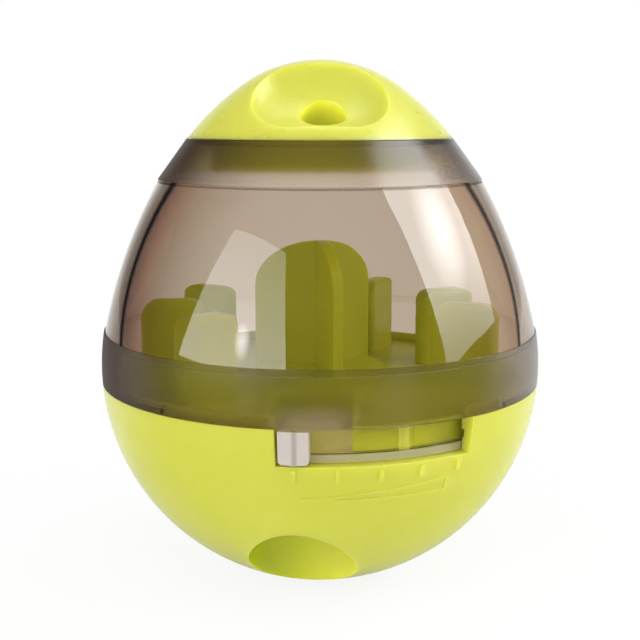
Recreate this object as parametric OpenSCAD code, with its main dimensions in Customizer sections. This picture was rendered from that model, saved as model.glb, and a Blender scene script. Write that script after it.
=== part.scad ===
// Wobble treat dispenser: a weighted egg with a see-through dome, a slotted tray and a sliding gate.
// Millimetres, +Z up. The origin is the centre of the flat foot, and the front faces -Y.
// Azimuths are measured from the front and grow towards +X.

/* [Round body] */
// Radius of the ball that the lower shell and the frosted band share
body_r = 55; // [50:1:62]
// Radius of the flat foot
foot_r = 7.5; // [5:0.5:10]
// Depth of the seam under the widest line
seam_drop = 3.6; // [2.5:0.1:6]
// Wall of the lower shell
shell_wall = 2.4; // [2:0.1:3]

/* [Dome] */
// Height of the frosted band above the seam
band_h = 12.9; // [10:0.1:16]
// Wall of the frosted band
band_wall = 1.6; // [1.4:0.1:1.8]
// How far the clear wall stands behind the band and the collar
dome_step = 0.3; // [0.2:0.1:0.6]
// Height of the clear wall
dome_h = 37.1; // [32:0.1:42]
// Radius of the arc that the clear wall follows
dome_arc_r = 127.7; // [110:0.1:150]
// Wall of the clear part
dome_wall = 1.8; // [1.4:0.1:2.2]
// Outer radius of the frosted collar at its lower edge
collar_r = 40.1; // [38:0.1:42]
// Outer radius of the collar at its top
collar_top_r = 32.9; // [31:0.1:35]
// Height of the collar
collar_h = 9.8; // [8:0.1:12]
// Wall of the collar at its top
collar_wall = 1.3; // [1:0.1:1.8]
// Thickness of the flange on top of the collar
neck_flange_t = 2; // [1.5:0.1:3]
// Inner radius of the neck
neck_r = 25.5; // [23:0.1:27]
// Wall of the neck tube
neck_wall = 1.8; // [1.4:0.1:2.4]
// Length of the neck tube
neck_h = 7.3; // [5:0.1:9]

/* [Cap] */
// Height of the cap above the collar
cap_h = 19; // [17:0.1:22]
// Radius of the cap's crown
crown_r = 33; // [30:0.5:36]
// Angle from the top at which the crown meets the flank
crown_angle = 36; // [32:1:40]
// Radius of the flank's arc
flank_r = 70; // [60:1:90]
// Wall of the cap
cap_wall = 2; // [1.6:0.1:2.4]
// Thickness of the cap's floor ring
cap_floor_t = 1.6; // [1.2:0.1:2.4]
// Length of the plug skirt under the cap
skirt_h = 6.5; // [5:0.1:8]
// Wall of the plug skirt
skirt_wall = 1.6; // [1.2:0.1:2]

/* [Cap scoop] */
// Radius of the scoop's hollow, seen from the side
scoop_r = 19; // [17:0.5:20]
// Half of the scoop's full width
scoop_half_w = 19.5; // [18:0.5:21]
// Radius of the rounding at the scoop's ends
scoop_end_r = 12; // [8:0.5:14]
// Distance of the scoop's lowest line in front of the axis
scoop_front = 27; // [26:0.5:29]
// Height of the scoop's lowest line above the cap's foot
scoop_floor = 2.9; // [2.6:0.1:3.6]
// Radius of the filling hole
fill_r = 5.2; // [4.5:0.1:6]
// Distance of the filling hole in front of the axis
fill_front = 17.3; // [16:0.1:19]
// Shift of the filling hole to the side
fill_shift = 0.8; // [-1:0.1:1]
// Width of the soft edge round the filling hole
fill_edge = 0.3; // [0.2:0.05:0.6]

/* [Gate window] */
// Play of the tab at each end of the window, in degrees
window_play = 0.4; // [0.2:0.1:1]
// Depth of the window's sill under the seam
sill_drop = 8.4; // [8:0.1:10]
// Width of one scale mark
tick_w = 0.9; // [0.6:0.1:1.4]
// Height of a scale mark
tick_h = 2.6; // [2:0.1:3.5]
// How far marks stand out of the ball
tick_out = 0.4; // [0.2:0.1:0.6]
// Number of scale marks
tick_n = 5; // [3:1:5]
// Angle between neighbouring scale marks
tick_pitch = 10.25; // [10:0.05:10.5]
// Height of the wedge sign at its tall end
wedge_h = 4; // [3:0.1:5]
// Width of the wedge sign's line
wedge_line = 0.7; // [0.5:0.1:1]
// Depth of the wedge sign's base under the window
wedge_drop = 8.6; // [7:0.1:10]

/* [Chute] */
// Radius of the chute, which is also the exit
chute_r = 12.65; // [11.5:0.05:13]
// Wall of the chute
chute_wall = 1.8; // [1.4:0.1:2.4]
// Distance between the chute's bore and the gate's drum
chute_edge = 4.15; // [3.5:0.05:4.6]
// Azimuth of the chute
chute_az = -6.9; // [-8:0.1:-5]

/* [Tray] */
// Thickness of the tray's floor
tray_t = 1.6; // [1.4:0.1:2]
// Thickness of the tray's rim flange
flange_t = 0.8; // [0.7:0.1:1.2]
// Wall of the skirt under the tray
tray_skirt_wall = 1.3; // [1.1:0.1:1.6]
// Width of the treat hole
treat_w = 18.5; // [16:0.5:19]
// How far the treat hole reaches inwards past the chute's middle
treat_reach = 11.4; // [10:0.1:12]
// Radius of the treat hole's inner corners
treat_corner = 5; // [3:0.5:7]
// Height of the lip round the treat hole
treat_lip_h = 1.2; // [0.8:0.1:2]
// Radius of the round hub under the vane
hub_r = 16; // [14:0.5:17]
// Height of the hub
hub_h = 2.5; // [1.5:0.1:3.5]
// Reach of each vane arm
vane_r = 17; // [15:0.5:19]
// Height of the vane over the tray's floor
vane_h = 34.2; // [30:0.2:37]
// Height of the straight part of a vane's edge
vane_side_h = 22.4; // [18:0.2:26]
// Thickness of a vane arm
vane_t = 2.5; // [2:0.1:3.5]
// Distance of a fin's outer end inside the tray's skirt
fin_edge = 3.3; // [2:0.1:5]
// Length of a fin
fin_len = 16.5; // [14:0.5:18]
// Height of a fin
fin_h = 20; // [15:0.5:23]
// Thickness of a fin
fin_t = 5.4; // [4:0.1:6.5]
// Radius of a fin's upper corners
fin_corner = 5; // [3:0.5:6]
// Angle between neighbouring fins
fin_pitch = 40; // [38:1:40]

/* [Gate] */
// How far the gate's drum stands inside the ball's surface
gate_inset = 4.8; // [4.6:0.1:5.2]
// Wall of the gate's drum
gate_wall = 1.4; // [1.2:0.1:1.8]
// How far the gate's plate stands out under the drum
gate_lip = 0.8; // [0.4:0.1:0.8]
// Thickness of the gate's plate
gate_t = 1.6; // [1.2:0.1:2]
// Width of the gate's plate on the inner side of its hole
gate_rib = 2.9; // [2:0.1:5]
// Radius of the gate's hole
gate_hole_r = 11.5; // [10.5:0.1:11.6]
// Travel of the gate in degrees
gate_travel = 40; // [38:1:40]
// Azimuth of the tab's middle at rest
tab_az = -6.1; // [-6.4:0.1:-5.5]
// Width of the tab
tab_w = 6.6; // [5.5:0.1:6.8]
// Radius of the peg that holds the tab
peg_r = 1.2; // [1:0.1:1.5]

/* [Twist lock] */
// Turn that frees the dome, in degrees
lock_turn = 22; // [20:1:24]
// Turn left over once the lugs are free, in degrees
lock_spare = 4; // [3:1:6]
// Height of one lug
lug_h = 1; // [0.8:0.1:1.2]
// Wall of the lock rim that stands up inside the band
rim_wall = 0.9; // [0.8:0.1:1]
// Height of the lock rim above the seam
rim_h = 2.2; // [2:0.1:3]

/* [Ballast] */
// Distance between the iron weight and the chute
ballast_edge = 1.55; // [1.5:0.05:4]
// Height of the weight's top over the floor
ballast_top = 15; // [12:0.5:18]
// Thickness of the weight's cover
cover_t = 2; // [1.5:0.1:2.5]
// Distance of a screw outside the weight's pocket
screw_edge = 4.3; // [4:0.1:5]
// Radius of a screw's shank
screw_r = 1.25; // [1:0.05:1.5]
// Radius of a screw's head
screw_head_r = 2.6; // [2.2:0.1:3]

/* [Clearances] */
// Gap between pieces that turn or lift off
run_gap = 0.3; // [0.2:0.05:0.4]
// Gap between pieces that lie in each other
lay_gap = 0.2; // [0.1:0.05:0.3]
// Gap between the rim's lugs and the band
lug_play = 0.45; // [0.3:0.05:0.6]
// Gap at the visible seams
seam_gap = 0.15; // [0.1:0.05:0.2]
// Gap of pegs and screws in their holes
peg_gap = 0.05; // [0.02:0.01:0.1]

/* [Hidden] */
$fn = 96;
lime = "#c7d23a";
smoke = [0.45, 0.40, 0.36, 0.45];
eps = 0.01;
far = 200;

// Heights of the round body
belt_z = sqrt(body_r * body_r - foot_r * foot_r);
seam_z = belt_z - seam_drop;
band_top_z = seam_z + band_h;
collar_z = band_top_z + dome_h;
neck_z = collar_z + collar_h;
sill_z = seam_z - sill_drop;
shell_in_r = body_r - shell_wall;
band_in_r = body_r - band_wall;

// The clear wall runs from just inside the band to just inside the collar
function ball_radius(r, z) = sqrt(r * r - (z - belt_z) * (z - belt_z));
shoulder_r = ball_radius(body_r, band_top_z) - dome_step;
under_collar_r = collar_r - dome_step;
function arc_centre(a, b, r) =
    let (m = (a + b) / 2, d = b - a, half = norm(d) / 2,
         n = [-d[1], d[0]] / norm(d))
    m + n * sqrt(r * r - half * half);
dome_c = arc_centre([shoulder_r, band_top_z], [under_collar_r, collar_z], dome_arc_r);

// Radial order at the seam: drum, tray, lock rim, band
gate_r = body_r - gate_inset;
tray_r = gate_r + gate_lip;
tray_skirt_r = gate_r - gate_wall - run_gap;
rim_r = tray_r + lay_gap;
rim_out_r = rim_r + rim_wall;
step_r = rim_r + lay_gap;
ear_r = rim_out_r + lay_gap;
lug_out_r = band_in_r - lug_play;
lug_in_r = rim_out_r + run_gap;

// Gate, between the ledge and the tray
gate_z = sill_z + run_gap;
gate_top_z = gate_z + gate_t;
drum_top_z = seam_z - flange_t - lay_gap;
drum_mid_z = (gate_top_z + drum_top_z) / 2;
tray_skirt_z = gate_top_z + run_gap;
tab_half = asin(tab_w / 2 / gate_r);
window_from = tab_az - tab_half - window_play;
window_to = tab_az + gate_travel + tab_half + window_play;
pad_t = 0.3;
pad_from = tab_az + 27;
pad_to = tab_az + 30;

// Ledge in the shell, with its outer step and its gussets
ledge_t = 2;
ledge_w = 5;
ledge_in_r = shell_in_r - ledge_w;
step_h = 2.9;
gusset_h = 8;
gusset_t = 1.2;
gusset_pitch = 30;

// Lock lugs and the stop ribs beside them
rim_foot_h = 3.5;
lug_z = seam_z + rim_h - lug_h;
lug_angle = lock_turn - lock_spare;
lug_azimuths = [60, 130, 220, 310];
stop_near = lug_angle / 2 + 0.6;
stop_far = stop_near + 1.2;

// Ears that carry and key the tray
ear_azimuths = [95, 175, 265];
ear_half = 4;
ear_play = 0.3;

// Chute, treat hole and the fins, which leave out the two places before it
chute_dist = gate_r - chute_edge - chute_r;
chute_out_r = chute_r + chute_wall;
treat_in = chute_dist - treat_reach;
treat_az = -2.7;
gate_in_r = chute_dist - gate_hole_r - gate_rib;
fin_out = tray_skirt_r - fin_edge;
fin_in = fin_out - fin_len;
fin_first_az = 75;
fin_count = 7;
fin_top_edge = 0.3 * fin_t;
fin_side_edge = 0.39 * fin_t;
vane_azimuths = [15, 135, 255];

// Tab and its peg
tab_gap = 0.1;
tab_corner_w = 0.5;
tab_corner_h = 0.6;
tab_point_half = 0.8;
tab_point_h = 0.25;
tab_z = gate_top_z + tab_gap;
tab_top_z = seam_z - 2 * lay_gap;
peg_len = 2.5;
ridge_y = 1;
ridge_left = 3;
ridge_right = 9;

// Cap
cap_z = neck_z + seam_gap;
apex_z = neck_z + cap_h;
crown_z = apex_z - crown_r;
flank_c = (crown_r - flank_r) * [sin(crown_angle), cos(crown_angle)] + [0, crown_z];
scoop_z = neck_z + scoop_floor + scoop_r;
skirt_r = neck_r - run_gap;
fill_lean = asin((scoop_front - fill_front) / scoop_r);
fill_z = scoop_z - scoop_r * cos(fill_lean);

// Ballast, its pocket, cover and screws
ballast_r = chute_dist - chute_out_r - ballast_edge;
pocket_r = ballast_r + run_gap;
pocket_wall = 1.4;
pocket_out_r = pocket_r + pocket_wall;
screw_dist = pocket_out_r + screw_edge;
screw_azimuths = [60, 180, 300];
screw_len = 7;
screw_head_h = 1.6;
screw_tip_z = ballast_top + cover_t - screw_len;
boss_r = 3.2;
boss_web_t = 1.6;
slot_len = 2.8;
slot_w = 0.7;
slot_h = 0.8;

// Turns a child from +X to an azimuth measured from the front
module at_az(az) { rotate([0, 0, az - 90]) children(); }

// A wedge of space between two azimuths
module sector(from, to, r = far, z0 = 0, z1 = far) {
    steps = ceil((to - from) / 30);
    translate([0, 0, z0]) linear_extrude(z1 - z0)
        polygon(concat([[0, 0]], [for (i = [0 : steps])
            let (a = from - 90 + (to - from) * i / steps, s = r / cos((to - from) / steps / 2))
            [s * cos(a), s * sin(a)]]));
}

module ring(r_out, r_in, z0, z1) {
    difference() {
        translate([0, 0, z0]) cylinder(r = r_out, h = z1 - z0);
        translate([0, 0, z0 - eps]) cylinder(r = r_in, h = z1 - z0 + 2 * eps);
    }
}

module ball(r, z0, z1) {
    intersection() {
        translate([0, 0, belt_z]) sphere(r = r);
        translate([0, 0, z0]) cylinder(r = far, h = z1 - z0);
    }
}

module at_chute() { at_az(chute_az) translate([chute_dist, 0, 0]) children(); }

// What stands out of the ball by a height, down to the middle of its wall
module on_ball(height) {
    intersection() {
        difference() {
            translate([0, 0, belt_z]) sphere(r = body_r + height);
            translate([0, 0, belt_z]) sphere(r = body_r - shell_wall / 2);
        }
        children();
    }
}

// Scale marks under the window
module scale_marks() {
    on_ball(tick_out) for (i = [0 : tick_n - 1])
        at_az(tab_az + i * tick_pitch)
            translate([0, -tick_w / 2, sill_z - tick_w - tick_h]) cube([far, tick_w, tick_h]);
}

// A wedge outline that grows with the opening
module wedge_sign() {
    mid_az = tab_az + gate_travel / 2;
    half_az = gate_travel / 2 - 1;
    base_z = sill_z - wedge_drop;
    reach = ball_radius(body_r, base_z) * sin(half_az);
    slope = atan((wedge_h - wedge_line) / (2 * reach));
    end_az = asin(wedge_line / body_r);
    on_ball(tick_out / 2) intersection() {
        sector(mid_az - half_az, mid_az + half_az);
        union() {
            translate([0, 0, base_z]) cylinder(r = far, h = wedge_line);
            at_az(mid_az) translate([0, 0, base_z + (wedge_h - wedge_line) / 2]) rotate([slope, 0, 0])
                translate([0, -far / 2, 0]) cube([far, far, wedge_line]);
            sector(mid_az + half_az - end_az, mid_az + half_az, far, base_z, base_z + wedge_h);
        }
    }
}

module lower_shell() {
    color(lime) difference() {
        union() {
            difference() {
                ball(body_r, 0, seam_z);
                translate([0, 0, belt_z]) sphere(r = shell_in_r);
            }
            scale_marks();
            wedge_sign();
            // Everything inside is trimmed to the ball
            intersection() {
                translate([0, 0, belt_z]) sphere(r = body_r - shell_wall / 2);
                union() {
                    // Ledge under the gate, with a raised outer step
                    ring(body_r, ledge_in_r, sill_z - ledge_t, sill_z);
                    ring(body_r, step_r, sill_z - eps, sill_z + step_h);
                    // Foot of the lock rim
                    ring(body_r, rim_r, seam_z - rim_foot_h, seam_z);
                    // Gussets under the ledge
                    for (az = [gusset_pitch : gusset_pitch : 360 - gusset_pitch])
                        at_az(az) translate([ledge_in_r, -gusset_t / 2, sill_z - ledge_t - gusset_h])
                            cube([body_r - ledge_in_r, gusset_t, gusset_h + ledge_t / 2]);
                    // Chute
                    at_chute() cylinder(r = chute_out_r, h = sill_z);
                    // Pocket for the weight
                    ring(pocket_out_r, pocket_r, 0, ballast_top);
                    for (az = screw_azimuths) at_az(az) {
                        translate([screw_dist, 0, 0]) cylinder(r = boss_r, h = ballast_top);
                        translate([pocket_r, -boss_web_t / 2, 0])
                            cube([screw_dist - pocket_r, boss_web_t, ballast_top]);
                    }
                }
            }
            // Lock rim, its lugs and their stop ribs
            ring(rim_out_r, rim_r, seam_z - rim_wall, seam_z + rim_h);
            for (az = lug_azimuths) {
                intersection() {
                    ring(lug_out_r, rim_r + eps, lug_z, seam_z + rim_h);
                    sector(az - lug_angle / 2, az + lug_angle / 2);
                }
                intersection() {
                    ring(lug_out_r, rim_r + eps, seam_z - rim_wall / 2, seam_z + rim_h);
                    sector(az - stop_far, az - stop_near);
                }
            }
        }
        // Window for the tab, open at the top
        intersection() {
            ring(far, rim_r - eps, sill_z, far);
            sector(window_from, window_to);
        }
        // Seats of the tray's ears
        for (az = ear_azimuths) intersection() {
            ring(ear_r + lay_gap / 2, rim_r - rim_wall, seam_z - flange_t, far);
            sector(az - ear_half - ear_play, az + ear_half + ear_play);
        }
        // Chute and exit
        at_chute() translate([0, 0, -eps]) cylinder(r = chute_r, h = far);
        // Pilot holes of the cover's screws
        for (az = screw_azimuths) at_az(az) translate([screw_dist, 0, screw_tip_z - lay_gap])
            cylinder(r = screw_r + peg_gap, h = screw_len);
    }
}

// Outline of the treat hole, straight at the sides and round at the inner end
module treat_outline(grow = 0) {
    w = treat_w / 2 + grow;
    corner = treat_corner + grow;
    x0 = treat_in - grow;
    translate([x0 + corner, -w + corner]) circle(r = corner);
    translate([x0 + corner, w - corner]) circle(r = corner);
    translate([x0 + corner, -w]) square([far, 2 * w]);
    translate([x0, -w + corner]) square([far, 2 * (w - corner)]);
}

// A fin: a slab whose side, end and plan outlines all have round corners
module fin() {
    intersection() {
        translate([fin_in, fin_t / 2, seam_z - tray_t]) rotate([90, 0, 0]) linear_extrude(fin_t)
            round_top(fin_len, fin_h + tray_t, fin_corner);
        translate([fin_in - 1, -fin_t / 2, seam_z - tray_t]) rotate([90, 0, 90])
            linear_extrude(fin_len + 2) round_top(fin_t, fin_h + tray_t, fin_top_edge);
        translate([fin_in, -fin_t / 2, seam_z - tray_t]) linear_extrude(fin_h + 2 * tray_t)
            round_rect(fin_len, fin_t, fin_side_edge);
    }
}

module round_top(w, h, r) {
    square([w, h - r]);
    translate([r, 0]) square([w - 2 * r, h]);
    translate([r, h - r]) circle(r = r);
    translate([w - r, h - r]) circle(r = r);
}

module round_rect(w, d, r) {
    translate([r, 0]) square([w - 2 * r, d]);
    translate([0, r]) square([w, d - 2 * r]);
    for (x = [r, w - r], y = [r, d - r]) translate([x, y]) circle(r = r);
}

// Three arms under one domed outline
module vane() {
    rise = vane_h - vane_side_h;
    intersection() {
        translate([0, 0, seam_z]) rotate_extrude()
            polygon(concat([[0, -tray_t], [vane_r, -tray_t]],
                [for (a = [0 : 7.5 : 90]) [vane_r * cos(a), vane_side_h + rise * sin(a)]]));
        translate([0, 0, seam_z - tray_t]) linear_extrude(vane_h + 2 * tray_t)
            for (az = vane_azimuths) rotate(az - 90) {
                translate([0, -vane_t / 2]) square([vane_r - vane_t / 4, vane_t]);
                translate([vane_r - vane_t / 4, 0]) circle(d = vane_t);
            }
    }
}

module tray() {
    color(lime) difference() {
        union() {
            translate([0, 0, seam_z - tray_t]) cylinder(r = tray_skirt_r, h = tray_t);
            translate([0, 0, seam_z - flange_t]) cylinder(r = tray_r, h = flange_t);
            ring(tray_skirt_r, tray_skirt_r - tray_skirt_wall, tray_skirt_z, seam_z - eps);
            // Walls and lip round the treat hole
            intersection() {
                at_az(treat_az) translate([0, 0, tray_skirt_z + lay_gap])
                    linear_extrude(seam_z + treat_lip_h - tray_skirt_z - lay_gap)
                    treat_outline(tray_skirt_wall);
                cylinder(r = tray_skirt_r - tray_skirt_wall / 2, h = far);
            }
            for (az = ear_azimuths) intersection() {
                ring(ear_r, tray_r - 2 * flange_t, seam_z - flange_t, seam_z + flange_t);
                sector(az - ear_half, az + ear_half);
            }
            translate([0, 0, seam_z - eps]) cylinder(r = hub_r, h = hub_h);
            vane();
            for (i = [0 : fin_count - 1]) at_az(fin_first_az + i * fin_pitch) fin();
        }
        at_az(treat_az) translate([0, 0, -eps]) linear_extrude(far) treat_outline();
    }
}

module gate() {
    color(smoke) difference() {
        union() {
            ring(gate_r + gate_lip, gate_in_r, gate_z, gate_top_z);
            ring(gate_r, gate_r - gate_wall, gate_z, drum_top_z);
            // Pad on the drum wall
            intersection() {
                ring(gate_r + pad_t, gate_r - gate_wall + eps, gate_z, drum_top_z);
                sector(pad_from, pad_to);
            }
            // Peg for the tab
            at_az(tab_az) translate([gate_r - gate_wall / 2, 0, drum_mid_z]) rotate([0, 90, 0])
                cylinder(r = peg_r, h = gate_wall / 2 + peg_len, $fn = 32);
        }
        at_az(chute_az - gate_travel) translate([chute_dist, 0, 0])
            cylinder(r = gate_hole_r, h = far);
    }
}

// What lies outside a plane through the tab's ridge, turned to one side of it
module beyond_facet(turn) {
    down = asin((belt_z - drum_mid_z) / body_r);
    translate([sqrt(pow(ball_radius(body_r, drum_mid_z), 2) - ridge_y * ridge_y), ridge_y, drum_mid_z])
        rotate([0, down, turn]) translate([0, -far / 2, -far / 2]) cube(far);
}

// Plan of the tab behind its face, with a small point at the foot
module tab_front() {
    y = tab_w / 2;
    foot = gate_z + tab_gap;
    foot_end = foot + tab_gap;
    polygon([[-y, tab_top_z], [-y, foot_end + tab_corner_h], [-y + tab_corner_w, foot_end],
             [-tab_point_half, foot], [0, foot - tab_point_h], [tab_point_half, foot],
             [y - tab_corner_w, foot_end], [y, foot_end + tab_corner_h], [y, tab_top_z]]);
}

module gate_tab() {
    color("#e8e4e2") difference() {
        intersection() {
            translate([0, 0, belt_z]) sphere(r = body_r);
            at_az(tab_az) union() {
                translate([gate_r + tab_gap, -tab_w / 2, tab_z])
                    cube([gate_inset, tab_w, drum_top_z - tab_z]);
                // The outer part reaches down in front of the plate's lip
                translate([tray_r + lay_gap, 0, 0]) rotate([90, 0, 90])
                    linear_extrude(gate_inset) tab_front();
            }
        }
        at_az(tab_az) beyond_facet(-ridge_left);
        at_az(tab_az) beyond_facet(ridge_right);
        at_az(tab_az) translate([gate_r, 0, drum_mid_z]) rotate([0, 90, 0])
            cylinder(r = peg_r + peg_gap, h = peg_len + 2 * lay_gap, $fn = 32);
    }
}

// Half outline of the see-through wall for one offset from its outer face
module dome_outline(offset_in, z0, z1) {
    intersection() {
        translate([dome_c[0], dome_c[1]]) circle(r = dome_arc_r - offset_in, $fn = 360);
        translate([0, z0]) square([far, z1 - z0]);
    }
}

module dome() {
    z0 = seam_z + seam_gap;
    flange_z = neck_z - neck_flange_t;
    inner_collar_r = under_collar_r - dome_wall;
    under_flange_r = collar_top_r - collar_wall;
    color(smoke) {
        difference() {
            union() {
                ball(body_r, z0, band_top_z);
                rotate_extrude() dome_outline(0, band_top_z - eps, collar_z + eps);
                translate([0, 0, collar_z])
                    cylinder(r1 = collar_r, r2 = collar_top_r, h = collar_h);
            }
            ball(band_in_r, 0, band_top_z - dome_wall);
            rotate_extrude() dome_outline(dome_wall, band_top_z - dome_wall - eps, collar_z + eps);
            translate([0, 0, collar_z])
                cylinder(r1 = inner_collar_r, r2 = under_flange_r, h = flange_z - collar_z);
            translate([0, 0, flange_z - eps]) cylinder(r = neck_r, h = far);
        }
        ring(neck_r + neck_wall, neck_r, neck_z - neck_h, neck_z);
        // Lock lugs, which lie under the rim's lugs until the dome is turned
        for (az = lug_azimuths) intersection() {
            ring(band_in_r + band_wall / 2, lug_in_r, z0, lug_z - lay_gap);
            sector(az - lug_angle / 2, az + lug_angle / 2);
        }
    }
}

// Half outline of the cap, whose crown and flank arcs meet smoothly
module cap_outline(offset_in, z0) {
    join_r = crown_r * sin(crown_angle);
    join_z = crown_z + crown_r * cos(crown_angle);
    intersection() {
        translate([0, crown_z]) circle(r = crown_r - offset_in, $fn = 180);
        translate([0, join_z - offset_in]) square([join_r, far]);
    }
    intersection() {
        translate([flank_c[0], flank_c[1]]) circle(r = flank_r - offset_in, $fn = 360);
        translate([0, z0]) square([far, join_z - offset_in - z0 + eps]);
    }
}

// The scoop's hollow: a barrel lying along X whose ends are well rounded
module scoop_space(grow = 0) {
    half = scoop_half_w + grow;
    straight = scoop_half_w - scoop_end_r;
    end_r = scoop_end_r + grow;
    translate([0, -scoop_front, scoop_z]) rotate([0, 90, 0]) rotate_extrude($fn = 120) {
        translate([0, -half]) square([scoop_r - scoop_end_r, 2 * half]);
        translate([0, -straight]) square([scoop_r + grow, 2 * straight]);
        for (y = [-straight, straight]) translate([scoop_r - scoop_end_r, y]) intersection() {
            circle(r = end_r);
            translate([-eps, -far / 2]) square(far);
        }
    }
}

module along_fill() {
    translate([fill_shift, -fill_front, fill_z]) rotate([fill_lean, 0, 0]) children();
}

module cap() {
    color(lime) difference() {
        union() {
            difference() {
                rotate_extrude() cap_outline(0, cap_z);
                difference() {
                    rotate_extrude() cap_outline(cap_wall, cap_z + cap_floor_t);
                    scoop_space(cap_wall);
                    along_fill() translate([0, 0, -far / 4])
                        cylinder(r = fill_r + cap_wall, h = far / 2);
                }
                translate([0, 0, cap_z - eps])
                    cylinder(r = skirt_r - skirt_wall, h = cap_floor_t + 2 * eps);
            }
            ring(skirt_r, skirt_r - skirt_wall, neck_z - skirt_h, cap_z + cap_floor_t);
        }
        scoop_space();
        along_fill() translate([0, 0, -far / 4]) cylinder(r = fill_r, h = far / 2);
        along_fill() translate([0, 0, -2 * fill_edge])
            cylinder(r1 = fill_r, r2 = fill_r + 3 * fill_edge, h = 6 * fill_edge);
    }
}

module ballast() {
    color("dimgray") intersection() {
        translate([0, 0, belt_z]) sphere(r = shell_in_r - tab_gap);
        cylinder(r = ballast_r, h = ballast_top - tab_gap);
    }
}

module ballast_cover() {
    color("#303030") difference() {
        union() {
            translate([0, 0, ballast_top]) cylinder(r = pocket_out_r, h = cover_t);
            for (az = screw_azimuths) at_az(az) {
                translate([screw_dist, 0, ballast_top]) cylinder(r = boss_r, h = cover_t);
                translate([pocket_r, -boss_r, ballast_top])
                    cube([screw_dist - pocket_r, 2 * boss_r, cover_t]);
            }
        }
        at_chute() translate([0, 0, -eps]) cylinder(r = chute_out_r + run_gap, h = far);
        for (az = screw_azimuths)
            at_az(az) translate([screw_dist, 0, 0]) cylinder(r = screw_r + lay_gap, h = far);
    }
}

module cover_screws() {
    color("silver") for (az = screw_azimuths) at_az(az) translate([screw_dist, 0, screw_tip_z]) {
        cylinder(r = screw_r, h = screw_len + eps);
        translate([0, 0, screw_len]) difference() {
            cylinder(r = screw_head_r, h = screw_head_h);
            for (a = [0, 90]) rotate(a)
                translate([-slot_len / 2, -slot_w / 2, screw_head_h - slot_h]) cube([slot_len, slot_w, far]);
        }
    }
}

lower_shell();
tray();
gate();
gate_tab();
dome();
cap();
ballast();
ballast_cover();
cover_screws();
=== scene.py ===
import math

import bpy
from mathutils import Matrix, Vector

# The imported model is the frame. Everything is in metres, +Z up, front to -Y.
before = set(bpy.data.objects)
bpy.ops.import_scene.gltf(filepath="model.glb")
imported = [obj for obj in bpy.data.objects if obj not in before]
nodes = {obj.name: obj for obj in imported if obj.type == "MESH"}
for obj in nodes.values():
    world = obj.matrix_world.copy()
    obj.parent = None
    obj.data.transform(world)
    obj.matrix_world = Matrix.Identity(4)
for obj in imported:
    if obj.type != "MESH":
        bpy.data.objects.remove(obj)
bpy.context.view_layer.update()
scene = bpy.context.scene

# Sizes that the looks follow, worked out as in the part's source
BODY_R = 0.055
FOOT_R = 0.0075
SEAM_DROP = 0.0036
BAND_H = 0.0129
DOME_H = 0.0371
DOME_STEP = 0.0003
DOME_ARC_R = 0.1277
DOME_WALL = 0.0018
COLLAR_R = 0.0401
COLLAR_TOP_R = 0.0329
COLLAR_H = 0.0098
BELT = math.sqrt(BODY_R ** 2 - FOOT_R ** 2)
SEAM = BELT - SEAM_DROP
BAND_TOP = SEAM + BAND_H
COLLAR = BAND_TOP + DOME_H
NECK = COLLAR + COLLAR_H

SILL_DROP = 0.0084
RUN_GAP = 0.0003
GATE_T = 0.0016
GATE_INSET = 0.0048
GATE_R = BODY_R - GATE_INSET
GATE_TOP = SEAM - SILL_DROP + RUN_GAP + GATE_T
TAB_GROOVE_X = -0.0055

SCOOP_R = 0.019
SCOOP_FLOOR = 0.0029
SCOOP_Y = -0.027
SCOOP_Z = NECK + SCOOP_FLOOR + SCOOP_R
FILL_Y = -0.0173
FILL_Z = SCOOP_Z - math.sqrt(SCOOP_R ** 2 - (FILL_Y - SCOOP_Y) ** 2)

CHUTE_R = 0.01265
CHUTE_EDGE = 0.00415
CHUTE_AZIMUTH = math.radians(6.9)
CHUTE_DIST = GATE_R - CHUTE_EDGE - CHUTE_R
CHUTE_X = -CHUTE_DIST * math.sin(CHUTE_AZIMUTH)
CHUTE_Y = -CHUTE_DIST * math.cos(CHUTE_AZIMUTH)

# A look that belongs to one face reaches this far off it, so that all of the face's facets have it.
# A round face's facets cut inside its true round, so frost reaches deeper.
HAIR = 0.0001
FROST_DEPTH = 0.0004

# Looks of the dome that differ from left to right, painted shade and light among them, change between these
# two places
LEFT_X = -0.030
RIGHT_X = 0.035


def arc_centre(start, end, radius):
    """Centre, in radius and height, of the arc that the clear wall follows."""
    step = end - start
    across = Vector((-step.y, step.x)).normalized()
    return (start + end) / 2 + across * math.sqrt(radius ** 2 - step.length_squared / 4)


SHOULDER = Vector((math.sqrt(BODY_R ** 2 - (BAND_TOP - BELT) ** 2) - DOME_STEP, BAND_TOP))
DOME_CENTRE = arc_centre(SHOULDER, Vector((COLLAR_R - DOME_STEP, COLLAR)), DOME_ARC_R)


# Colours
def linear(red, green, blue):
    """An sRGB colour, 0 to 255, as the linear one that nodes take."""
    out = []
    for value in (red, green, blue):
        v = value / 255
        out.append(v / 12.92 if v <= 0.04045 else ((v + 0.055) / 1.055) ** 2.4)
    return (*out, 1.0)


WHITE = (1.0, 1.0, 1.0, 1.0)
PAPER = (0.92, 0.92, 0.92, 1.0)
LIME = linear(208, 210, 82)
LIME_DEEP = linear(204, 206, 74)
# Painted light round the cap's filling hole
LIME_PAINTED_LIGHT = linear(252, 254, 78)
# Painted shade and painted light inside the shell's chute
EXIT_PAINTED_SHADE = linear(192, 203, 38)
EXIT_PAINTED_LIGHT = linear(252, 255, 84)
INNER_LIME = linear(208, 218, 50)
INNER_DEEP = linear(202, 211, 42)
TAB_WHITE = linear(203, 194, 187)
TAB_SHADE = linear(198, 188, 181)
# Painted shade in the tab's groove
TAB_GROOVE_PAINTED_SHADE = linear(150, 140, 132)

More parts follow.
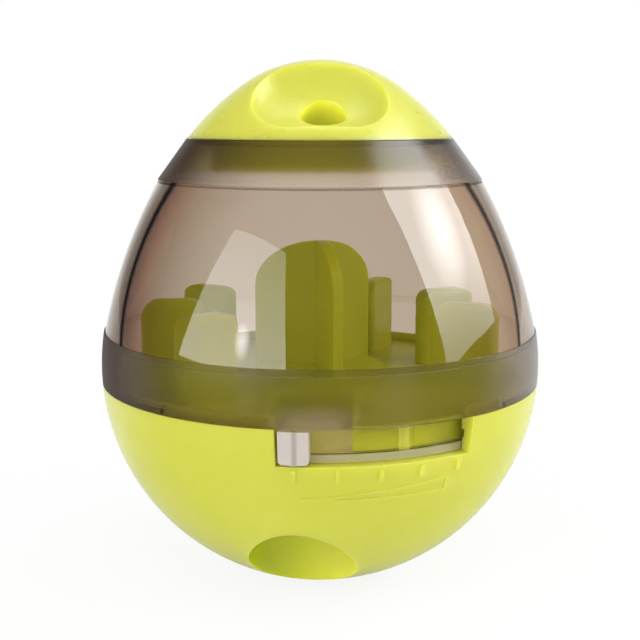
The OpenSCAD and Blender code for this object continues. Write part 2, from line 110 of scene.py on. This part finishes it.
# Smoky plastic: the tint that light takes on its way through a wall, and the tints of its shadows
SMOKE = (0.50, 0.33, 0.12, 1.0)
DOME_SHADOW = (0.95, 0.93, 0.88, 1.0)
GATE_SHADOW = (0.95, 0.93, 0.85, 1.0)

# The clear wall: its own tint, the two hues that stress mixes, the painted shade towards its dark line
# as it is on the left and on the right, and the colours of the painted shade lines
CLEAR = (0.96, 0.95, 0.94, 1.0)
STRESS_HUES = ((0.98, 0.78, 0.82, 1.0), (0.72, 0.92, 0.86, 1.0))
EDGE_PAINTED_SHADE = ((0.44, 0.24, 0.19, 1.0), (0.98, 0.72, 0.46, 1.0))
EDGE_PAINTED_DEEP_SHADE = ((0.12, 0.072, 0.08, 1.0), (0.74, 0.42, 0.24, 1.0))
EDGE_PAINTED_BROWN = (0.045, 0.028, 0.02, 1.0)
EDGE_PAINTED_BLACK = (0.010, 0.008, 0.010, 1.0)

# The frost: its tints at its ends on the left and on the right (painted shade and light), on the band, on
# the collar below the plug and over the plug (painted light from behind), and where light leaves the
# plastic, and then the painted light it scatters
FROST_PAINTED_SIDES = ((0.05, 0.04, 0.03, 1.0), (0.58, 0.56, 0.66, 1.0))
FROST_BAND = (0.52, 0.50, 0.33, 1.0)
FROST_COLLAR = (0.97, 0.90, 0.80, 1.0)
FROST_PLUG = (0.97, 0.92, 0.35, 1.0)
FROST_LEAVING = (0.97, 0.96, 0.94, 1.0)
BAND_PAINTED_LIGHT = (0.42, 0.32, 0.17, 1.0)
COLLAR_PAINTED_LIGHT = (0.72, 0.60, 0.47, 1.0)
PLUG_PAINTED_LIGHT = (0.36, 0.31, 0.03, 1.0)

# The gate, in front of the tray's hole and in front of the lime tray, and the painted light on the edge of
# its plate
GATE_AT_HOLE = (0.98, 0.91, 0.56, 1.0)
GATE_AT_TRAY = (0.98, 0.97, 0.20, 1.0)
GATE_LIP_PAINTED_LIGHT = (0.80, 0.76, 0.46, 1.0)

# The dark and the light of the grain on the hidden pieces
IRON = ((0.035, 0.034, 0.034, 1.0), (0.10, 0.095, 0.09, 1.0))
BLACK = ((0.012, 0.012, 0.013, 1.0), (0.03, 0.03, 0.031, 1.0))
ZINC = ((0.52, 0.53, 0.56, 1.0), (0.68, 0.67, 0.62, 1.0))


# Node helpers
class Graph:
    """A material's node tree with short names for what this scene uses."""

    def __init__(self, name):
        self.mat = bpy.data.materials.new(name)
        self.mat.use_nodes = True
        self.start(self.mat.node_tree, "ShaderNodeOutputMaterial")

    def start(self, tree, output):
        self.tree = tree
        self.tree.nodes.clear()
        self.out = self.add(output)

    def add(self, kind, **settings):
        node = self.tree.nodes.new(kind)
        for key, value in settings.items():
            setattr(node, key, value)
        return node

    def link(self, source, target):
        self.tree.links.new(source, target)

    def put(self, socket, value):
        """A number, a colour or another node's output goes into a socket."""
        if isinstance(value, bpy.types.NodeSocket):
            self.link(value, socket)
        else:
            socket.default_value = value

    def math(self, operation, *values):
        node = self.add("ShaderNodeMath", operation=operation)
        for socket, value in zip(node.inputs, values):
            self.put(socket, value)
        return node.outputs[0]

    def plus(self, first, second):
        return self.math("ADD", first, second)

    def minus(self, first, second):
        return self.math("SUBTRACT", first, second)

    def times(self, first, *others):
        for value in others:
            first = self.math("MULTIPLY", first, value)
        return first

    def inverse(self, value):
        """1 where the value is 0, and 0 where it is 1."""
        return self.minus(1.0, value)

    def off(self, value, middle):
        """How far a value is from a middle, to either side."""
        return self.math("ABSOLUTE", self.minus(value, middle))

    def greater(self, first, second):
        return self.math("MAXIMUM", first, second)

    def above(self, value, limit):
        return self.math("GREATER_THAN", value, limit)

    def below(self, value, limit):
        return self.math("LESS_THAN", value, limit)

    def length(self, a, b):
        return self.math("SQRT", self.plus(self.math("POWER", a, 2.0), self.math("POWER", b, 2.0)))

    def parts(self, vector):
        """The x, y and z of a vector."""
        split = self.add("ShaderNodeSeparateXYZ")
        self.link(vector, split.inputs[0])
        return split.outputs[0], split.outputs[1], split.outputs[2]

    def coordinate(self, kind):
        return self.add("ShaderNodeTexCoord").outputs[kind]

    def in_scene(self):
        """The shaded point's x, y and z in the scene."""
        return self.parts(self.add("ShaderNodeNewGeometry").outputs["Position"])

    def on_piece(self):
        """The shaded point's x, y and z in the piece's own space, which moves with it."""
        return self.parts(self.coordinate("Object"))

    def noise(self, scale, detail=2.0, rough=0.5):
        node = self.add("ShaderNodeTexNoise")
        node.inputs["Scale"].default_value = scale
        node.inputs["Detail"].default_value = detail
        node.inputs["Roughness"].default_value = rough
        self.link(self.coordinate("Object"), node.inputs["Vector"])
        return node.outputs["Fac"]

    def spread(self, value, low, high, to_low=0.0, to_high=1.0):
        """Maps the range from low to high, and no further, to another range."""
        node = self.add("ShaderNodeMapRange")
        numbers = {"Value": value, "From Min": low, "From Max": high, "To Min": to_low, "To Max": to_high}
        for name, number in numbers.items():
            self.put(node.inputs[name], number)
        return node.outputs["Result"]

    def mix_colour(self, factor, first, second):
        node = self.add("ShaderNodeMix", data_type="RGBA")
        self.put(node.inputs[0], factor)
        self.put(node.inputs[6], first)
        self.put(node.inputs[7], second)
        return node.outputs[2]

    def mix_shader(self, factor, first, second):
        node = self.add("ShaderNodeMixShader")
        self.put(node.inputs[0], factor)
        self.link(first, node.inputs[1])
        self.link(second, node.inputs[2])
        return node.outputs[0]

    def bump(self, height, strength, distance):
        node = self.add("ShaderNodeBump")
        self.put(node.inputs["Strength"], strength)
        self.put(node.inputs["Distance"], distance)
        self.put(node.inputs["Height"], height)
        return node.outputs["Normal"]

    def principled(self, **values):
        node = self.add("ShaderNodeBsdfPrincipled")
        for name, value in values.items():
            self.put(node.inputs[name.replace("_", " ")], value)
        return node

    def diffuse(self, colour):
        node = self.add("ShaderNodeBsdfDiffuse")
        self.put(node.inputs["Color"], colour)
        return node.outputs[0]

    def glow(self, strength, kind="ShaderNodeEmission"):
        """White light from a surface, or from the world with the Background node."""
        node = self.add(kind)
        node.inputs["Color"].default_value = WHITE
        self.put(node.inputs["Strength"], strength)
        return node.outputs[0]

    def surface(self, shader):
        self.link(shader, self.out.inputs["Surface"])


# Moulded lime and white plastic
class Moulded(Graph):
    """Moulded plastic: a faint flow in its colour, a gloss that varies and a very low ripple."""

    def __init__(self, name, colour, shade, rough):
        super().__init__(name)
        flow = self.noise(scale=38.0, detail=3.0, rough=0.55)
        self.tone = self.mix_colour(self.spread(flow, 0.35, 0.65), colour, shade)
        gloss_flow = self.noise(scale=90.0, detail=3.0)
        smoother = 0.97
        rougher = 1.04
        self.gloss = self.spread(gloss_flow, 0.3, 0.7, rough * smoother, rough * rougher)
        self.height = self.noise(scale=70.0)

    def lit_inside(self, weight, scale):
        """Light enters the plastic and leaves it again nearby, blue light sooner than the rest."""
        skin = self.principled(Base_Color=self.tone, Roughness=self.gloss, IOR=1.5)
        skin.inputs["Subsurface Weight"].default_value = weight
        skin.inputs["Subsurface Radius"].default_value = (1.0, 0.95, 0.3)
        skin.inputs["Subsurface Scale"].default_value = scale
        self.link(self.bump(self.height, strength=0.08, distance=0.00006), skin.inputs["Normal"])
        self.surface(skin.outputs[0])
        return self


def lime_shell():
    """Light enters the shell's plastic, and inside its chute the colour goes from painted shade on the left
    to painted light on the right.
    """
    g = Moulded("lime_shell", LIME, LIME_DEEP, rough=0.24)
    x, y, _ = g.on_piece()
    from_middle = g.length(g.minus(x, CHUTE_X), g.minus(y, CHUTE_Y))
    shade_x = -0.013
    lit_x = 0.004
    # Painted shade on the chute's left, painted light on its right
    lit = g.mix_colour(g.spread(x, shade_x, lit_x), EXIT_PAINTED_SHADE, EXIT_PAINTED_LIGHT)
    g.tone = g.mix_colour(g.below(from_middle, CHUTE_R + HAIR), g.tone, lit)
    return g.lit_inside(weight=0.8, scale=0.004)


def lime_cap():
    """The cap's scoop has a fine matt grain, and round its filling hole the colour is lighter, a painted
    light.
    """
    g = Moulded("lime_cap", LIME, LIME_DEEP, rough=0.28)
    x, y, z = g.on_piece()
    scoop = g.below(g.length(g.minus(y, SCOOP_Y), g.minus(z, SCOOP_Z)), SCOOP_R + 2 * HAIR)
    grain = g.noise(scale=1900.0, detail=1.0)
    grain_height = 16.0
    more_rough = 0.10
    g.height = g.plus(g.height, g.times(scoop, grain_height, grain))
    g.gloss = g.plus(g.gloss, g.times(scoop, more_rough))
    # Painted light round the filling hole, outside the scoop
    from_hole = g.length(g.length(x, g.minus(y, FILL_Y)), g.minus(z, FILL_Z))
    bore_reach = 0.010
    painted_bore_light = g.times(g.inverse(scoop), g.below(from_hole, bore_reach))
    g.tone = g.mix_colour(painted_bore_light, g.tone, LIME_PAINTED_LIGHT)
    return g.lit_inside(weight=0.9, scale=0.006)


def lime_tray():
    """The tray, which is seen through the smoky dome, is a little greener than the shell and the cap."""
    return Moulded("lime_tray", INNER_LIME, INNER_DEEP, rough=0.34).lit_inside(weight=0.5, scale=0.003)


def white_tab():
    """The tab's face has an upright groove with soft edges, and painted shade in it."""
    g = Moulded("white_tab", TAB_WHITE, TAB_SHADE, rough=0.3)
    x, _, _ = g.on_piece()
    off_groove = g.off(x, TAB_GROOVE_X)
    groove_depth = 110.0
    groove_shade_share = 0.6
    g.height = g.plus(g.height, g.spread(off_groove, 0.0001, 0.0009, 0.0, groove_depth))
    # Painted shade in the groove
    groove_painted_shade = g.spread(off_groove, 0.0003, 0.0008, groove_shade_share, 0.0)
    g.tone = g.mix_colour(groove_painted_shade, g.tone, TAB_GROOVE_PAINTED_SHADE)
    return g.lit_inside(weight=0.3, scale=0.001)


# Smoky see-through plastic
class Smoky(Graph):
    """Smoky plastic: it bends light, and absorbs some of it on its way through the walls."""

    def glass(self, tint, rough, normal, milk, density):
        body = self.principled(Base_Color=tint, Roughness=rough, IOR=1.49)
        self.put(body.inputs["Transmission Weight"], self.inverse(milk))
        self.link(normal, body.inputs["Normal"])
        smoke = self.add("ShaderNodeVolumeAbsorption")
        smoke.inputs["Color"].default_value = SMOKE
        smoke.inputs["Density"].default_value = density
        self.link(smoke.outputs[0], self.out.inputs["Volume"])
        return body.outputs[0]

    def lit_through(self, shader, tint):
        """Lamps shine through the plastic."""
        clear = self.add("ShaderNodeBsdfTransparent")
        clear.inputs["Color"].default_value = tint
        path = self.add("ShaderNodeLightPath")
        self.surface(self.mix_shader(path.outputs["Is Shadow Ray"], shader, clear.outputs[0]))


class SmokeDome(Smoky):
    """Clear smoky wall with a frosted band and collar. Near its edges the wall bends what lies behind
    it so far that it shows as a thin dark line with warm and pale ones beside it. The dark line and the warm
    and brown shade beside it are painted shade."""

    def __init__(self):
        super().__init__("smoke_dome")
        self.x, y, self.z = self.in_scene()
        self.radius = self.length(self.x, y)
        self.to_right = self.spread(self.x, LEFT_X, RIGHT_X)
        self.facing = self.add("ShaderNodeLayerWeight").outputs["Facing"]
        self.entering = self.inverse(self.add("ShaderNodeNewGeometry").outputs["Backfacing"])
        self.find_frost()
        self.find_edge()
        tint = self.mix_colour(self.frost, self.wall_tint(), self.frost_tint())
        glass = self.glass(tint, self.roughness(), self.relief(), milk=0.0, density=300.0)
        self.lit_through(self.with_edge_lines(self.with_painted_light(glass)), DOME_SHADOW)

    def find_frost(self):
        """The outer faces of the band and the collar are frosted. The plug shows through the collar."""
        from_centre = self.length(self.radius, self.minus(self.z, BELT))
        on_ball = self.above(from_centre, BODY_R - FROST_DEPTH)
        self.band = self.times(on_ball, self.below(self.z, BAND_TOP + HAIR / 5))
        cone = self.spread(self.z, COLLAR, NECK, COLLAR_R - FROST_DEPTH, COLLAR_TOP_R - FROST_DEPTH)
        self.collar = self.times(self.above(self.radius, cone), self.above(self.z, COLLAR))
        self.frost = self.greater(self.band, self.collar)
        self.grain = self.noise(scale=2100.0, rough=0.6)
        plug_end = COLLAR + 0.0029
        blur = 0.0007
        self.over_plug = self.spread(self.z, plug_end - blur, plug_end + blur)

    def find_edge(self):
        """The painted dark line lies where the wall's outer face has turned this far from the eye, and
        sooner towards its top and bottom. What is beyond it is nearer to the outline."""
        line_facing = 0.665
        line_bow = 0.055
        width_low = 0.018
        width_high = 0.040
        from_centre = self.length(self.minus(self.radius, DOME_CENTRE.x), self.minus(self.z, DOME_CENTRE.y))
        on_arc = self.above(from_centre, DOME_ARC_R - DOME_WALL / 2)
        self.outer = self.times(on_arc, self.above(self.z, BAND_TOP), self.below(self.z, COLLAR))
        self.edge = self.times(self.outer, self.entering)
        up = self.spread(self.z, BAND_TOP, COLLAR, -1.0, 1.0)
        self.line_width = self.spread(up, -1.0, 1.0, width_low, width_high)
        bow = self.times(line_bow, self.math("POWER", self.math("ABSOLUTE", up), 2.0))
        self.beyond = self.minus(self.facing, self.minus(line_facing, bow))
        self.inside = self.times(self.edge, self.below(self.beyond, 0.0))

    def roughness(self):
        """The band is evenly matt, and the collar's frost grows uneven to the right."""
        clear_rough = 0.012
        band_rough = 0.26
        collar_rough = 0.19
        uneven = self.times(self.to_right, self.spread(self.grain, 0.3, 0.7, -0.06, 0.09))
        collar = self.times(self.collar, self.plus(collar_rough, uneven))
        return self.plus(clear_rough, self.plus(self.times(self.band, band_rough), collar))

    def relief(self):
        """The collar's grain shows most on its right."""
        weak = 0.05
        strong = 0.60
        strength = self.spread(self.x, 0.0, 0.03, weak, strong)
        return self.bump(self.times(self.collar, self.grain), strength, distance=0.00006)

    def frost_tint(self):
        """The frost's tint is a painted light from what lies behind it, and at its ends painted shade and
        light from the room at its sides.
        """
        # Painted light from what lies behind the frost
        behind = self.mix_colour(self.over_plug, FROST_COLLAR, FROST_PLUG)
        behind = self.mix_colour(self.collar, FROST_BAND, behind)
        # Painted shade at the left end and painted light at the right end
        painted_sides = self.mix_colour(self.to_right, *FROST_PAINTED_SIDES)
        tint = self.mix_colour(self.spread(self.facing, 0.15, 0.70), behind, painted_sides)
        return self.mix_colour(self.entering, FROST_LEAVING, tint)

    def wall_tint(self):
        """Towards its dark line the clear wall has painted shade, and it shows stress hues on its left."""
        stress = self.spread(self.noise(scale=24.0, detail=1.0, rough=0.4), 0.40, 0.60)
        stress_share = 0.6
        at_left = self.times(self.inside, self.spread(self.x, -0.036, -0.018, stress_share, 0.0))
        tint = self.mix_colour(at_left, CLEAR, self.mix_colour(stress, *STRESS_HUES))
        painted_shade_from = -0.48
        painted_shade_full = -0.14
        deep_full = -0.01
        # Painted shade towards the dark line
        near = self.times(self.inside, self.spread(self.beyond, painted_shade_from, painted_shade_full))
        tint = self.mix_colour(near, tint, self.mix_colour(self.to_right, *EDGE_PAINTED_SHADE))
        nearest = self.times(self.inside, self.spread(self.beyond, painted_shade_full, deep_full))
        return self.mix_colour(nearest, tint, self.mix_colour(self.to_right, *EDGE_PAINTED_DEEP_SHADE))

    def with_painted_light(self, shader):
        """Painted light that the frost scatters: beige over the treat hole, and the plug's colour in the
        collar.
        """
        hole_x = -0.0012
        hole_share = 0.42
        low = self.spread(self.z, SEAM + 0.0020, SEAM + 0.0060, hole_share, 0.0)
        over_hole = self.spread(self.off(self.x, hole_x), 0.0040, 0.0110, 1.0, 0.0)
        front_share = 0.24
        end_share = 0.04
        at_front = self.spread(self.facing, 0.2, 0.6, front_share, end_share)
        plug_seen = self.times(at_front, self.spread(self.to_right, 0.5, 0.9, 1.0, 0.1))
        share = self.plus(self.times(self.band, low, over_hole), self.times(self.collar, plug_seen))
        in_collar = self.mix_colour(self.over_plug, COLLAR_PAINTED_LIGHT, PLUG_PAINTED_LIGHT)
        # Painted light, scattered by the frost
        milk = self.diffuse(self.mix_colour(self.collar, BAND_PAINTED_LIGHT, in_collar))
        return self.mix_shader(share, shader, milk)

    def with_edge_lines(self, shader):
        """Painted shade in brown beyond the dark line, at the frost's left end and in the seam under the
        collar, and then the painted dark line itself."""
        outside_share = 0.62
        outside_right = 0.05
        # Painted shade beyond the dark line
        beyond_line = self.spread(self.beyond, 0.02, 0.27, outside_share, 0.0)
        painted_outside = self.times(self.edge, beyond_line, self.above(self.beyond, 0.0))
        painted_outside = self.times(painted_outside, self.spread(self.to_right, 0.0, 1.0, 1.0, outside_right))
        # Painted shade at the frost's left end
        end_share = 0.75
        painted_dim_end = self.spread(self.facing, 0.22, 0.66, 0.0, end_share)
        painted_dim_end = self.times(self.frost, self.inverse(self.to_right), painted_dim_end)
        # Painted shade in the seam under the collar
        seam_low = COLLAR - 0.0007
        seam_top = COLLAR - 0.0002
        seam_share = 0.5
        in_seam = self.times(self.above(self.z, seam_low), self.below(self.z, seam_top))
        seam = self.times(self.outer, in_seam, seam_share)
        painted_brown = self.plus(painted_outside, self.plus(painted_dim_end, seam))
        shader = self.mix_shader(painted_brown, shader, self.diffuse(EDGE_PAINTED_BROWN))
        # The painted dark line
        off_line = self.math("DIVIDE", self.math("ABSOLUTE", self.beyond), self.line_width)
        painted_dark = self.times(self.edge, self.spread(off_line, 0.3, 1.3, 1.0, 0.0))
        dark_left = 0.985
        dark_right = 0.86
        painted_dark = self.times(painted_dark, self.spread(self.to_right, 0.0, 1.0, dark_left, dark_right))
        painted_black = self.principled(Base_Color=EDGE_PAINTED_BLACK, Roughness=0.3, Specular_IOR_Level=0.0)
        return self.mix_shader(painted_dark, shader, painted_black.outputs[0])


def smoke_gate():
    """The gate's smoky plastic is a little milky, and the edge of its plate has painted light that makes it
    paler and milkier. One upright strip of its drum is milkier too."""
    g = Smoky("smoke_gate")
    x, y, z = g.in_scene()
    # Painted light on the edge of the gate's plate
    lip = g.times(g.above(g.length(x, y), GATE_R + HAIR), g.below(z, GATE_TOP + HAIR))
    strip_x = 0.0183
    strip = g.spread(g.off(x, strip_x), 0.0010, 0.0014, 1.0, 0.0)
    strip = g.times(strip, g.above(z, GATE_TOP + HAIR))
    milk_all = 0.10
    lip_painted_light = 0.40
    milk_strip = 0.22
    milk = g.plus(milk_all, g.plus(g.times(lip, lip_painted_light), g.times(strip, milk_strip)))
    rough = g.spread(g.noise(scale=300.0, detail=3.0), 0.3, 0.7, 0.05, 0.11)
    normal = g.bump(g.noise(scale=60.0), strength=0.2, distance=0.00004)
    hole_end = 0.0070
    past_hole = g.spread(x, hole_end - 0.0004, hole_end + 0.0004)
    tint = g.mix_colour(past_hole, GATE_AT_HOLE, GATE_AT_TRAY)
    tint = g.mix_colour(lip, tint, GATE_LIP_PAINTED_LIGHT)
    g.lit_through(g.glass(tint, rough, normal, milk, density=50.0), GATE_SHADOW)
    return g


# Hidden pieces
def grained(name, tones, scale, rough, strength, depth, metal=0.0):
    """A surface whose colour, gloss and relief follow one grain."""
    g = Graph(name)
    grain = g.noise(scale, detail=4.0, rough=0.6)
    tone = g.mix_colour(g.spread(grain, 0.35, 0.65), *tones)
    skin = g.principled(Base_Color=tone, Roughness=g.spread(grain, 0.3, 0.7, *rough), Metallic=metal)
    g.link(g.bump(grain, strength, depth), skin.inputs["Normal"])
    g.surface(skin.outputs[0])
    return g


def cast_iron():
    return grained("cast_iron", IRON, scale=900.0, rough=(0.45, 0.75), strength=0.6, depth=0.0002, metal=0.9)


def black_plastic():
    return grained("black_plastic", BLACK, scale=1400.0, rough=(0.42, 0.6), strength=0.4, depth=0.00008)


def zinc_plate():
    return grained("zinc_plate", ZINC, scale=1800.0, rough=(0.2, 0.38), strength=0.2, depth=0.00004,
                   metal=1.0)


def dress(name, graph):
    """Gives a CAD node one material."""
    mesh = nodes[name].data
    mesh.materials.clear()
    mesh.materials.append(graph.mat)


dress("lower_shell", lime_shell())
dress("cap", lime_cap())
dress("tray", lime_tray())
dress("gate_tab", white_tab())
dress("dome", SmokeDome())
dress("gate", smoke_gate())
dress("ballast", cast_iron())
dress("ballast_cover", black_plastic())
dress("cover_screws", zinc_plate())


# Soft edges, as a moulded piece has them
def soften(name, width, angle):
    """Joins the faces of the frame's mesh and rounds its sharp edges a little."""
    piece = nodes[name]
    weld = piece.modifiers.new("join", "WELD")
    weld.merge_threshold = 1e-6
    bevel = piece.modifiers.new("soft_edge", "BEVEL")
    bevel.width = width
    bevel.segments = 3
    bevel.limit_method = "ANGLE"
    bevel.angle_limit = math.radians(angle)
    bevel.harden_normals = True


soften("cap", width=0.0006, angle=30.0)

# How strong the white of the room is for the object, for what light through the smoky walls reaches,
# and for gloss in front of the object, from the room and from the floor
FILL = 0.62
FILL_INSIDE = 0.57
FRONT = 0.10
FLOOR_FRONT = 0.2


def seen(g):
    """Two shares: 1 for what the camera sees straight, in gloss or through glass, and 0 once light has
    scattered, and then 1 for what it sees in gloss."""
    path = g.add("ShaderNodeLightPath")
    direct = g.greater(path.outputs["Is Camera Ray"], path.outputs["Is Glossy Ray"])
    direct = g.greater(direct, path.outputs["Is Transmission Ray"])
    unscattered = g.below(path.outputs["Diffuse Depth"], 0.5)
    in_gloss = g.above(path.outputs["Glossy Depth"], 0.5)
    return g.times(direct, unscattered), in_gloss


# Floor that looks white and keeps the object's shadow
def floor_paper():
    g = Graph("floor_paper")
    x, y, _ = g.in_scene()
    near = 0.05
    far = 0.16
    glow_near = 0.88
    share = g.spread(g.length(x, y), near, far, glow_near, 1.0)
    direct, in_gloss = seen(g)
    front = g.spread(y, -0.06, 0.06, FLOOR_FRONT, 1.0)
    lit = g.plus(g.inverse(in_gloss), g.times(in_gloss, front))
    g.surface(g.mix_shader(g.times(direct, share), g.diffuse(PAPER), g.glow(lit)))
    return g


bpy.ops.mesh.primitive_grid_add(x_subdivisions=4, y_subdivisions=4, size=6.0, location=(0, 0, 0))
floor = bpy.context.object
floor.name = "floor"
floor.data.materials.append(floor_paper().mat)


# White all round, a plain fill for the object, and for gloss a studio that is dark in front
class WorldGraph(Graph):
    def __init__(self, world):
        world.use_nodes = True
        self.start(world.node_tree, "ShaderNodeOutputWorld")

    def sky(self, strength):
        return self.glow(strength, "ShaderNodeBackground")


def light_world(world):
    g = WorldGraph(world)
    right, back, _ = g.parts(g.coordinate("Generated"))
    side_glow = 0.6
    behind = g.spread(back, 0.68, 0.93, FRONT, 1.0)
    aside = g.times(g.spread(right, 0.35, 0.75, 0.0, side_glow), g.spread(back, 0.0, 0.3))
    studio = g.sky(g.greater(behind, aside))
    direct, in_gloss = seen(g)
    backdrop = g.mix_shader(in_gloss, g.sky(1.0), studio)
    passed = g.above(g.add("ShaderNodeLightPath").outputs["Transmission Depth"], 0.5)
    fill = g.sky(g.spread(passed, 0.0, 1.0, FILL, FILL_INSIDE))
    g.surface(g.mix_shader(direct, fill, backdrop))


scene.world = bpy.data.worlds.new("studio")
light_world(scene.world)

# Lamps and the cards that show in gloss, all turned to this point
AIM = Vector((0.0, 0.0, 0.07))


def place(piece, azimuth, elevation, distance):
    """Puts a lamp or a card round the object. Azimuth grows from the front to the right."""
    a = math.radians(azimuth)
    e = math.radians(elevation)
    way = Vector((math.sin(a) * math.cos(e), -math.cos(a) * math.cos(e), math.sin(e)))
    piece.location = AIM + way * distance
    piece.rotation_mode = "QUATERNION"
    piece.rotation_quaternion = (-way).to_track_quat("-Z", "Y")


def softbox(name, azimuth, elevation, distance, width, height, watts):
    """A rectangular lamp that lights the object. Its card is what gloss shows."""
    lamp = bpy.data.lights.new(name, "AREA")
    lamp.shape = "RECTANGLE"
    lamp.size = width
    lamp.size_y = height
    lamp.energy = watts
    piece = bpy.data.objects.new(name, lamp)
    scene.collection.objects.link(piece)
    piece.visible_glossy = False
    piece.visible_transmission = False
    place(piece, azimuth, elevation, distance)


def card_glow(name, width, height, strength, hot, hot_at, hot_reach, fade, fade_to):
    g = Graph(name)
    right, up, _ = g.on_piece()
    across = g.times(g.minus(right, hot_at[0]), width)
    along = g.times(g.minus(up, hot_at[1]), height)
    spot = g.spread(g.length(across, along), 0.0, hot_reach, hot, 0.0)
    level = g.spread(up, -0.5, fade_to, strength * fade, strength)
    g.surface(g.glow(g.plus(spot, level)))
    return g


def card(name, azimuth, elevation, distance, width, height, strength, hot, hot_at, hot_reach,
         foot=(1.0, 1.0), fade=1.0, fade_to=-0.25):
    """A glowing card that only gloss reflects, with a hotter spot where its lamp sits. Its foot can be
    wider to each side, and glow more or less up to fade_to."""
    bpy.ops.mesh.primitive_plane_add(size=1.0)
    piece = bpy.context.object
    piece.name = name
    for corner in piece.data.vertices:
        if corner.co.y < 0:
            corner.co.x *= foot[0] if corner.co.x < 0 else foot[1]
    piece.scale = (width, height, 1.0)
    place(piece, azimuth, elevation, distance)
    piece.visible_camera = False
    piece.visible_diffuse = False
    piece.visible_transmission = False
    piece.visible_shadow = False
    g = card_glow(name + "_glow", width, height, strength, hot, hot_at, hot_reach, fade, fade_to)
    piece.data.materials.append(g.mat)


softbox("key_right", azimuth=86.0, elevation=25.0, distance=0.9, width=0.66, height=0.62, watts=5.2)
softbox("fill_left", azimuth=-43.0, elevation=25.0, distance=0.9, width=0.60, height=0.46, watts=3.0)
softbox("top", azimuth=0.0, elevation=62.0, distance=1.0, width=0.6, height=0.6, watts=2.2)
card("key_card", azimuth=84.0, elevation=34.0, distance=0.9, width=0.69, height=0.92, strength=7.2,
     hot=11.0, hot_at=(0.0, -0.05), hot_reach=0.24, fade=0.45, fade_to=-0.2)
card("fill_card", azimuth=-40.5, elevation=23.5, distance=0.9, width=0.50, height=0.50, strength=3.2,
     hot=16.0, hot_at=(0.03, -0.28), hot_reach=0.07, foot=(2.5, 1.7), fade=1.9, fade_to=0.45)
card("top_card", azimuth=180.0, elevation=76.0, distance=1.0, width=0.6, height=0.6, strength=2.4,
     hot=0.0, hot_at=(0.0, 0.0), hot_reach=0.1)

# Camera at the photograph's angle: where it stands, how far it looks down, and its lens
EYE = (0.0, -0.28865, 0.1162)
LOOK_DOWN = 10.08
LENS_MM = 64.69
SENSOR_MM = 36.0
camera = bpy.data.cameras.new("camera")
camera.sensor_width = SENSOR_MM
camera.lens = LENS_MM
camera.clip_start = 0.01
camera.clip_end = 20.0
viewer = bpy.data.objects.new("camera", camera)
viewer.location = EYE
viewer.rotation_euler = (math.radians(90.0 - LOOK_DOWN), 0.0, 0.0)
scene.collection.objects.link(viewer)
scene.camera = viewer

scene.view_settings.view_transform = "Standard"
